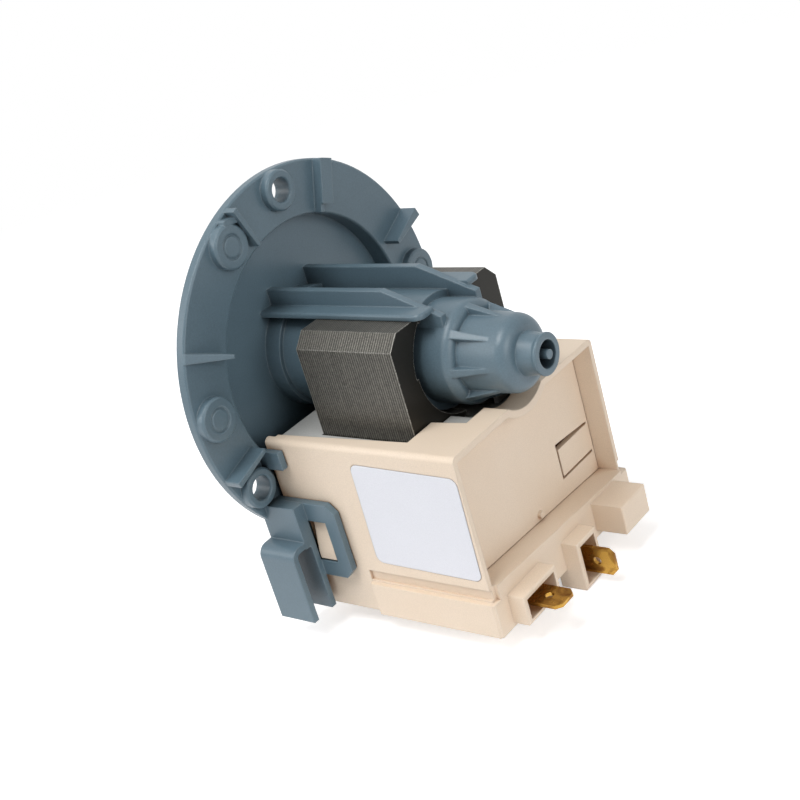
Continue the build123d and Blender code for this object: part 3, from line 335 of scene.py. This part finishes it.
# Coil housing and rear lid
# Beige flame-retardant plastic, a shade drier and more matt than the cover. The lid snaps into the
# drafted frame at the rear, and the two shrouds and the key block stand at the lower edge.
# An orange-brown painted shade darkens the lid recess and the corners, and a painted highlight lightens the
# edges.
housing_plastic = moulded_plastic(
    "housing_plastic", colour=(0.79, 0.665, 0.535), cloud=(0.76, 0.62, 0.48), edge_highlight_colour=(0.88, 0.79, 0.68),
    painted_shade_colour=(0.40, 0.18, 0.06), roughness=0.44, grain_depth=0.08, cloud_scale=25.0, grain_scale=6000.0,
    painted_shade_distance=0.0045, painted_shade_fill=0.54)
dress(housing_plastic, "coil_housing", "rear_lid")


# Rating label
# A blank white film with rounded corners, punched from a roll and stuck in a shallow bed on the side
# of the coil housing. It is smoother and a little colder in colour than the plastic round it.
label_film = moulded_plastic(
    "label_film", colour=(0.74, 0.75, 0.80), cloud=(0.72, 0.73, 0.78), edge_highlight_colour=(0.80, 0.82, 0.86),
    painted_shade_colour=(0.55, 0.52, 0.50), roughness=0.30, grain_depth=0.03, cloud_scale=35.0, grain_scale=12000.0)
dress(label_film, "rating_label")


# Blade terminals
# Stamped brass tabs, 6.3 mm wide, seated in slots of the coil housing. Handling has darkened them
# a little, and fine rolling lines run along the strip that they were cut from.
def rolled_lines_group():
    """Fine lines along one axis of a rolled, ground or drawn metal: noise at the place times the stretch."""
    group, into, out = new_group(
        "rolled_lines",
        [("Stretch", VECTOR, (1.0, 1.0, 1.0)), ("Scale", FLOAT, 4000.0), ("Depth", FLOAT, 0.1),
         ("Normal", VECTOR, (0.0, 0.0, 0.0))],
        [("Mask", FLOAT), ("Tarnish", FLOAT), ("Normal", VECTOR)],
    )
    place = add_node(group, "ShaderNodeTexCoord")
    long = add_node(group, "ShaderNodeVectorMath", {0: place.outputs["Object"], 1: into.outputs["Stretch"]},
                    operation="MULTIPLY")
    lines = add_node(group, "ShaderNodeTexNoise",
                     {"Vector": long.outputs[0], "Scale": into.outputs["Scale"], "Detail": 3.0})
    stain = add_node(group, "ShaderNodeTexNoise",
                     {"Vector": place.outputs["Object"], "Scale": 260.0, "Detail": 5.0, "Distortion": 1.0})
    spread = add_node(group, "ShaderNodeMapRange",
                      {"Value": stain.outputs["Fac"], "From Min": 0.42, "From Max": 0.68})
    bump = add_node(group, "ShaderNodeBump",
                    {"Strength": into.outputs["Depth"], "Distance": 0.00005, "Height": lines.outputs["Fac"],
                     "Normal": into.outputs["Normal"]})
    group.links.new(lines.outputs["Fac"], out.inputs["Mask"])
    group.links.new(spread.outputs[0], out.inputs["Tarnish"])
    group.links.new(bump.outputs[0], out.inputs["Normal"])
    return group


rolled_lines = rolled_lines_group()


def lined_metal(name, bright, dull, stretch, roughness):
    """Metal with drawn lines, dull patches and rounded edges."""
    line_share = 0.35
    dull_roughness = 0.2
    material, tree, shader = new_material(name, metallic=1.0)
    worn_and_lit_edge = add_node(tree, "ShaderNodeGroup", {"Radius": 0.00015}, node_tree=edge_wear_and_highlight)
    lines = add_node(tree, "ShaderNodeGroup",
                     {"Stretch": stretch, "Depth": 0.15, "Scale": 2500.0, "Normal": worn_and_lit_edge.outputs["Normal"]},
                     node_tree=rolled_lines)
    part = add_node(tree, "ShaderNodeMath",
                    {0: lines.outputs["Mask"], 1: line_share, 2: lines.outputs["Tarnish"]},
                    operation="MULTIPLY_ADD")
    tone = add_node(tree, "ShaderNodeMix", {0: part.outputs[0], 6: (*bright, 1.0), 7: (*dull, 1.0)},
                    data_type="RGBA", clamp_factor=True)
    rough = add_node(tree, "ShaderNodeMath", {0: part.outputs[0], 1: dull_roughness, 2: roughness},
                     operation="MULTIPLY_ADD")
    tree.links.new(tone.outputs[2], shader.inputs["Base Color"])
    tree.links.new(rough.outputs[0], shader.inputs["Roughness"])
    tree.links.new(lines.outputs["Normal"], shader.inputs["Normal"])
    return material


tab_brass = lined_metal("tab_brass", bright=(0.56, 0.33, 0.07), dull=(0.22, 0.10, 0.02),
                        stretch=(0.08, 1.0, 1.0), roughness=0.22)
dress(tab_brass, "line_terminal", "neutral_terminal")


# Laminated core
# Two pole stacks and the yoke bar, each of some forty punched steel sheets lying across the rotor axis.
# The punched edges show as fine lines with small burrs, and varnish has darkened the end sheets.
def stacked_sheets_group():
    """Sheets along X: dark joints at one pitch, a faint tone for each sheet, burrs along the cut edges,
    and a mask of the end sheets, whose normal lies along X."""
    group, into, out = new_group(
        "stacked_sheets",
        [("Pitch", FLOAT, 0.0006), ("Joint", FLOAT, 0.36), ("Depth", FLOAT, 0.5),
         ("Normal", VECTOR, (0.0, 0.0, 0.0))],
        [("Joint", FLOAT), ("Sheet Tone", FLOAT), ("Burr", FLOAT), ("End Sheet", FLOAT), ("Normal", VECTOR)],
    )
    place = add_node(group, "ShaderNodeTexCoord")
    parts = add_node(group, "ShaderNodeSeparateXYZ", {0: place.outputs["Object"]})
    count = add_node(group, "ShaderNodeMath", {0: parts.outputs["X"], 1: into.outputs["Pitch"]},
                     operation="DIVIDE")
    across = add_node(group, "ShaderNodeMath", {0: count.outputs[0]}, operation="FRACT")
    number = add_node(group, "ShaderNodeMath", {0: count.outputs[0]}, operation="FLOOR")
    tone = add_node(group, "ShaderNodeTexWhiteNoise", {"W": number.outputs[0]}, noise_dimensions="1D")
    middle = add_node(group, "ShaderNodeMath", {0: across.outputs[0], 1: 0.5}, operation="SUBTRACT")
    off = add_node(group, "ShaderNodeMath", {0: middle.outputs[0]}, operation="ABSOLUTE")
    begin = add_node(group, "ShaderNodeMath", {0: 0.5, 1: into.outputs["Joint"]}, operation="SUBTRACT")
    joint = add_node(group, "ShaderNodeMapRange",
                     {"Value": off.outputs[0], "From Min": begin.outputs[0], "From Max": 0.5})
    long = add_node(group, "ShaderNodeVectorMath", {0: place.outputs["Object"], 1: (0.6, 1.0, 1.0)},
                    operation="MULTIPLY")
    burr = add_node(group, "ShaderNodeTexNoise", {"Vector": long.outputs[0], "Scale": 3000.0, "Detail": 3.0})
    raised = add_node(group, "ShaderNodeMath", {0: tone.outputs["Value"], 1: 0.15, 2: burr.outputs["Fac"]},
                      operation="MULTIPLY_ADD")
    height = add_node(group, "ShaderNodeMath", {0: raised.outputs[0], 1: joint.outputs[0]},
                      operation="SUBTRACT")
    facing = add_node(group, "ShaderNodeSeparateXYZ", {0: place.outputs["Normal"]})
    along = add_node(group, "ShaderNodeMath", {0: facing.outputs["X"]}, operation="ABSOLUTE")
    end_sheet = add_node(group, "ShaderNodeMapRange",
                         {"Value": along.outputs[0], "From Min": 0.7, "From Max": 0.95})
    cut_edge = add_node(group, "ShaderNodeMath", {0: 1.0, 1: end_sheet.outputs[0]}, operation="SUBTRACT")
    strength = add_node(group, "ShaderNodeMath", {0: cut_edge.outputs[0], 1: into.outputs["Depth"]},
                        operation="MULTIPLY")
    bump = add_node(group, "ShaderNodeBump",
                    {"Strength": strength.outputs[0], "Distance": 0.00008, "Height": height.outputs[0],
                     "Normal": into.outputs["Normal"]})
    group.links.new(joint.outputs[0], out.inputs["Joint"])
    group.links.new(tone.outputs["Value"], out.inputs["Sheet Tone"])
    group.links.new(burr.outputs["Fac"], out.inputs["Burr"])
    group.links.new(end_sheet.outputs[0], out.inputs["End Sheet"])
    group.links.new(bump.outputs[0], out.inputs["Normal"])
    return group


stacked_sheets = stacked_sheets_group()


def lamination_steel_material():
    """Varnished punched steel: grey cut edges with darker joints, dark end sheets, and bright corners of bare
    steel where the varnish is worn, lightened more by a painted highlight.
    """
    dark_edge = (0.082, 0.079, 0.070, 1.0)
    light_edge = (0.225, 0.214, 0.186, 1.0)
    dark_joint = (0.012, 0.011, 0.009, 1.0)
    thick_varnish = (0.008, 0.007, 0.005, 1.0)
    thin_varnish = (0.020, 0.018, 0.014, 1.0)
    bare_steel_and_highlight = (0.50, 0.49, 0.45, 1.0)
    joint_share = 0.95
    sheet_share = 0.12
    material, tree, shader = new_material("lamination_steel", metallic=0.55)
    worn_and_lit_edge = add_node(tree, "ShaderNodeGroup",
                    {"Radius": 0.00035, "Width": 7.0, "Patchiness": 0.8, "Patch Scale": 2200.0},
                    node_tree=edge_wear_and_highlight)
    sheets = add_node(tree, "ShaderNodeGroup", {"Normal": worn_and_lit_edge.outputs["Normal"]}, node_tree=stacked_sheets)
    mixed = add_node(tree, "ShaderNodeMath",
                     {0: sheets.outputs["Sheet Tone"], 1: sheet_share, 2: sheets.outputs["Burr"]},
                     operation="MULTIPLY_ADD")
    spread = add_node(tree, "ShaderNodeMapRange",
                      {"Value": mixed.outputs[0], "From Min": 0.30, "From Max": 0.90})
    cut = add_node(tree, "ShaderNodeMix", {0: spread.outputs[0], 6: dark_edge, 7: light_edge},
                   data_type="RGBA")
    shade = add_node(tree, "ShaderNodeMath", {0: sheets.outputs["Joint"], 1: joint_share},
                     operation="MULTIPLY")
    lined = add_node(tree, "ShaderNodeMix", {0: shade.outputs[0], 6: cut.outputs[2], 7: dark_joint},
                     data_type="RGBA")
    face = add_node(tree, "ShaderNodeMix", {0: sheets.outputs["Burr"], 6: thick_varnish, 7: thin_varnish},
                    data_type="RGBA")
    sides = add_node(tree, "ShaderNodeMix",
                     {0: sheets.outputs["End Sheet"], 6: lined.outputs[2], 7: face.outputs[2]},
                     data_type="RGBA")
    # Bright corners: bare steel where the varnish is worn, made lighter still by a painted highlight.
    bare_and_lit = add_node(tree, "ShaderNodeMix", {0: worn_and_lit_edge.outputs["Mask"], 6: sides.outputs[2], 7: bare_steel_and_highlight},
                    data_type="RGBA")
    rough = add_node(tree, "ShaderNodeMapRange",
                     {"Value": sheets.outputs["Burr"], "To Min": 0.30, "To Max": 0.55})
    tree.links.new(bare_and_lit.outputs[2], shader.inputs["Base Color"])
    tree.links.new(rough.outputs[0], shader.inputs["Roughness"])
    tree.links.new(sheets.outputs["Normal"], shader.inputs["Normal"])
    return material


dress(lamination_steel_material(), "left_pole_stack", "right_pole_stack", "yoke_stack")


# Bobbins and coil caps
# Pale grey glass-filled plastic: a former pushed on each leg of the core, and the caps that close the
# housing's mouth round the pole arms. Both are plain mouldings, more matt than the housing.
coil_plastic = moulded_plastic(
    "coil_plastic", colour=(0.52, 0.52, 0.50), cloud=(0.47, 0.47, 0.45), edge_highlight_colour=(0.66, 0.66, 0.64),
    painted_shade_colour=(0.20, 0.19, 0.17), roughness=0.5, grain_depth=0.2)
dress(coil_plastic, "left_bobbin", "right_bobbin", "left_coil_cap", "right_coil_cap")


# Windings
# Enamelled copper wire wound in close layers on each bobbin, fuller at the middle than at the flanges.
# The inner layers never show, so each winding is one closed sleeve with a ridge for each turn.
wire_pitch = 0.00045
wire_swell = 0.0003
points_per_wire = 6
points_per_corner = 10
winding_depth = 0.0035
winding_corner = 0.003
bobbin_corner = 0.0006


def rounded_rectangle(middle, half_sizes, corner, count):
    """Outline of a rectangle with round corners: at angle a it is the centre of the corner in that quarter
    plus the corner radius times (cos a, sin a). Also gives that direction, and the share of a turn."""
    turn = (np.arange(4 * count) % count) / (count - 1) + np.repeat(np.arange(4), count)
    angle = turn * np.pi / 2
    side = np.repeat(np.arange(4), count)
    signs = np.array([(1, 1), (-1, 1), (-1, -1), (1, -1)])[side]
    direction = np.stack([np.cos(angle), np.sin(angle)], axis=1)
    centres = np.asarray(middle) + signs * (np.asarray(half_sizes) - corner)
    return centres + corner * direction, direction, angle / (2 * np.pi)


def closed_grid(name, rows):
    """Mesh of a grid of points (row, column, xyz) that closes on itself both ways: each face joins a point,
    the next one in its row, and the two that follow them in the next row."""
    row_count, column_count = rows.shape[:2]
    row, column = np.meshgrid(np.arange(row_count), np.arange(column_count), indexing="ij")
    next_row = (row + 1) % row_count
    next_column = (column + 1) % column_count
    corners = np.stack([row * column_count + column, row * column_count + next_column,
                        next_row * column_count + next_column, next_row * column_count + column], axis=-1)
    mesh = bpy.data.meshes.new(name)
    mesh.vertices.add(row_count * column_count)
    mesh.vertices.foreach_set("co", rows.astype(np.float32).ravel())
    faces = corners.reshape(-1, 4)
    mesh.loops.add(faces.size)
    mesh.loops.foreach_set("vertex_index", faces.astype(np.int32).ravel())
    mesh.polygons.add(len(faces))
    mesh.polygons.foreach_set("loop_start", np.arange(0, faces.size, 4, dtype=np.int32))
    mesh.update(calc_edges=True)
    mesh.shade_smooth()
    piece = bpy.data.objects.new(name, mesh)
    scene.collection.objects.link(piece)
    return piece


def stands_for(piece, material, slot, *names):
    """Gives a new piece its material, in place of CAD nodes of the motor; the slot argument is not used."""
    piece.data.materials.append(material)
    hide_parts(*names)
    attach(piece, "motor")


def wound_sleeve(name, node):
    """The outer wall is the outline pushed in by the wire's round section, r - r sqrt(1 - (2f - 1)^2), plus
    swell times (2v - 1)^4. Here f runs across one wire as height over pitch plus turn, which makes a helix,
    and v runs up the sleeve. The inner wall is the outline drawn in by the winding's depth."""
    low, high = (np.array(corner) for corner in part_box(node))
    middle = (low[:2] + high[:2]) / 2
    half = (high[:2] - low[:2]) / 2
    outline, direction, turn = rounded_rectangle(middle, half, winding_corner, points_per_corner)
    radius = wire_pitch / 2
    row_count = int(round((high[2] - low[2]) / wire_pitch)) * points_per_wire + 1
    height = np.linspace(low[2], high[2], row_count)
    across = np.mod(height[:, None] / wire_pitch + turn[None, :], 1.0)
    ridge = radius - radius * np.sqrt(1.0 - (2.0 * across - 1.0) ** 2)
    place = (height - low[2]) / (high[2] - low[2])
    inward = ridge + wire_swell * (2.0 * place[:, None] - 1.0) ** 4
    outer = np.empty((row_count, len(outline), 3))
    outer[..., :2] = outline[None] - inward[..., None] * direction[None]
    outer[..., 2] = height[:, None]
    drawn, _, _ = rounded_rectangle(middle, half - winding_depth, bobbin_corner, points_per_corner)
    inner = np.empty((2, len(outline), 3))
    inner[..., :2] = drawn[None]
    inner[0, :, 2] = high[2]
    inner[1, :, 2] = low[2]
    return closed_grid(name, np.concatenate([outer, inner]))


copper_wire = lined_metal("copper_wire", bright=(0.80, 0.36, 0.18), dull=(0.45, 0.15, 0.07),
                          stretch=(1.0, 1.0, 0.2), roughness=0.3)
for side in ("left", "right"):
    winding = wound_sleeve(f"{side}_wound_wire", f"{side}_winding")
    stands_for(winding, copper_wire, "copper_wire", f"{side}_winding")


# Leads and thermal cut-out
# Insulated leads from the coils to the terminals and to the cut-out, a small dark moulded case.
# Each lead is soldered at both ends and bends softly between them.
lead_insulation = moulded_plastic(
    "lead_insulation", colour=(0.70, 0.70, 0.68), cloud=(0.64, 0.64, 0.62), edge_highlight_colour=(0.8, 0.8, 0.8),
    painted_shade_colour=(0.3, 0.3, 0.29), roughness=0.4, grain_depth=0.05)
lead_radius = 0.00035
# Each route: the soldered start, the point that the lead bends towards, and the soldered end.
lead_routes = {
    "line": ((0.0448, -0.0167, -0.0388), (0.04625, -0.0167, -0.0388), (0.04625, -0.0167, -0.0454)),
    "cutout": ((0.0448, 0.0110, -0.0187), (0.0465, 0.0110, -0.0187), (0.0465, 0.0110, -0.0209)),
    "neutral": ((0.0465, 0.0054, -0.0240), (0.0465, 0.0016, -0.0240), (0.0465, 0.0016, -0.0464)),
}


def soft_lead(name, route):
    """Round lead on a spline of order three: the point at share t is (1 - t)^2 of the start, 2 t (1 - t) of
    the bend and t^2 of the end, so that it leaves both ends in line with its route."""
    curve = bpy.data.curves.new(name, "CURVE")
    curve.dimensions = "3D"
    curve.bevel_depth = lead_radius
    curve.bevel_resolution = 6
    curve.use_fill_caps = True
    spline = curve.splines.new("NURBS")
    spline.points.add(len(route) - 1)
    weighted = np.pad(np.array(route), ((0, 0), (0, 1)), constant_values=1.0)
    spline.points.foreach_set("co", weighted.ravel())
    spline.order_u = 3
    spline.use_endpoint_u = True
    spline.resolution_u = 16
    piece = bpy.data.objects.new(name, curve)
    scene.collection.objects.link(piece)
    return piece


for name, route in lead_routes.items():
    stands_for(soft_lead(f"{name}_wire", route), lead_insulation, "lead_insulation", f"{name}_lead")
dark_plastic = moulded_plastic(
    "dark_plastic", colour=(0.020, 0.020, 0.022), cloud=(0.028, 0.028, 0.030), edge_highlight_colour=(0.09, 0.09, 0.09),
    painted_shade_colour=(0.010, 0.010, 0.010), roughness=0.42, grain_depth=0.2)
dress(dark_plastic, "thermal_cutout")


# Rotor, bushes and seals
# A ground steel shaft and a ferrite magnet on a moulded hub, running in two pressed carbon bushes. Each
# bush sits in a moulded rubber, and two rubber rings seal the bearing plate and the flange. Hub, driver
# dog and bearing plate are of the same dark plastic as the cut-out's case.
dress(dark_plastic, "rotor_hub", "driver_dog", "front_bearing_plate")
ground_steel = lined_metal("ground_steel", bright=(0.66, 0.66, 0.68), dull=(0.45, 0.45, 0.47),
                           stretch=(1.0, 0.05, 0.05), roughness=0.22)
dress(ground_steel, "rotor_shaft", "impeller_clip")
ferrite = moulded_plastic(
    "ferrite", colour=(0.030, 0.028, 0.028), cloud=(0.045, 0.041, 0.040), edge_highlight_colour=(0.10, 0.10, 0.10),
    painted_shade_colour=(0.012, 0.012, 0.012), roughness=0.55, grain_depth=0.5, grain_scale=1800.0)
dress(ferrite, "rotor_magnet")
bush_carbon = moulded_plastic(
    "bush_carbon", colour=(0.018, 0.018, 0.020), cloud=(0.030, 0.030, 0.032), edge_highlight_colour=(0.10, 0.10, 0.11),
    painted_shade_colour=(0.008, 0.008, 0.008), roughness=0.28, grain_depth=0.05)
dress(bush_carbon, "front_bush", "rear_bush")
washer_plastic = moulded_plastic(
    "washer_plastic", colour=(0.70, 0.70, 0.66), cloud=(0.64, 0.64, 0.60), edge_highlight_colour=(0.8, 0.8, 0.78),
    painted_shade_colour=(0.4, 0.4, 0.37), roughness=0.4, grain_depth=0.08)
dress(washer_plastic, "rear_thrust_washer", "front_thrust_washer")
seal_rubber = moulded_plastic(
    "seal_rubber", colour=(0.012, 0.012, 0.012), cloud=(0.020, 0.020, 0.020), edge_highlight_colour=(0.05, 0.05, 0.05),
    painted_shade_colour=(0.005, 0.005, 0.005), roughness=0.6, grain_depth=0.3)
ring_steps = 160
seal_corner_share = 0.46
sleeve_corner = 0.00025
bend_points = 5


def turned_ring(name, profile):
    """Closed profile, anticlockwise, turned about the rotor axis: a point at x and distance r from the axis
    gives x, r cos a and r sin a for each angle a of the turn."""
    angle = np.arange(ring_steps) * 2 * np.pi / ring_steps
    rows = np.empty((ring_steps, len(profile), 3))
    rows[..., 0] = profile[None, :, 0]
    rows[..., 1] = profile[None, :, 1] * np.cos(angle)[:, None]
    rows[..., 2] = profile[None, :, 1] * np.sin(angle)[:, None]
    return closed_grid(name, rows)


def softened(corners):
    """Profile with its corners rounded: the point at share t is (1 - t)^2 of the start, 2 t (1 - t) of the
    corner and t^2 of the end, where start and end lie one sleeve corner away from it along its two sides."""
    corner = np.array(corners, dtype=float)
    before = np.roll(corner, 1, axis=0) - corner
    after = np.roll(corner, -1, axis=0) - corner
    start = corner + sleeve_corner * before / np.linalg.norm(before, axis=1, keepdims=True)
    end = corner + sleeve_corner * after / np.linalg.norm(after, axis=1, keepdims=True)
    t = np.linspace(0.0, 1.0, bend_points)[None, :, None]
    bend = (1 - t) ** 2 * start[:, None] + 2 * t * (1 - t) * corner[:, None] + t ** 2 * end[:, None]
    return bend.reshape(-1, 2)


for name, node in (("flange_ring", "flange_seal"), ("plate_ring", "bearing_plate_seal")):
    low, high = (np.array(corner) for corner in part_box(node))
    section = high[0] - low[0]
    middle = (low[0] + section / 2, high[1] - section / 2)
    half = (section / 2, section / 2)
    profile, _, _ = rounded_rectangle(middle, half, section * seal_corner_share, points_per_corner)
    stands_for(turned_ring(name, profile), seal_rubber, "seal_rubber", node)
# Section of each bush rubber as corners (place along the axis, distance from it).
sleeve_profiles = {
    "front_bush": ((-0.0062, 0.0034), (0.0012, 0.0034), (0.0012, 0.0054), (-0.0062, 0.0054)),
    "rear_bush": ((0.0466, 0.0034), (0.0530, 0.0034), (0.0530, 0.0028), (0.0536, 0.0028), (0.0536, 0.00595),
                  (0.0466, 0.00595)),
}
for name, corners in sleeve_profiles.items():
    stands_for(turned_ring(f"{name}_sleeve", softened(corners)), seal_rubber, "seal_rubber", f"{name}_rubber")


# Impeller
# Pale grey moulded wheel with six straight vanes, loose on the shaft over part of a turn. The driver dog
# turns in its hub chamber, which a pressed cap closes.
impeller_plastic = moulded_plastic(
    "impeller_plastic", colour=(0.46, 0.48, 0.49), cloud=(0.42, 0.44, 0.45), edge_highlight_colour=(0.60, 0.62, 0.63),
    painted_shade_colour=(0.20, 0.21, 0.22), roughness=0.4, grain_depth=0.12)
dress(impeller_plastic, "impeller", "impeller_cap")


# Size of the dressed pump
# The box of the dressed pump, in metres; the box of the bare solids was found at import.
low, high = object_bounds()
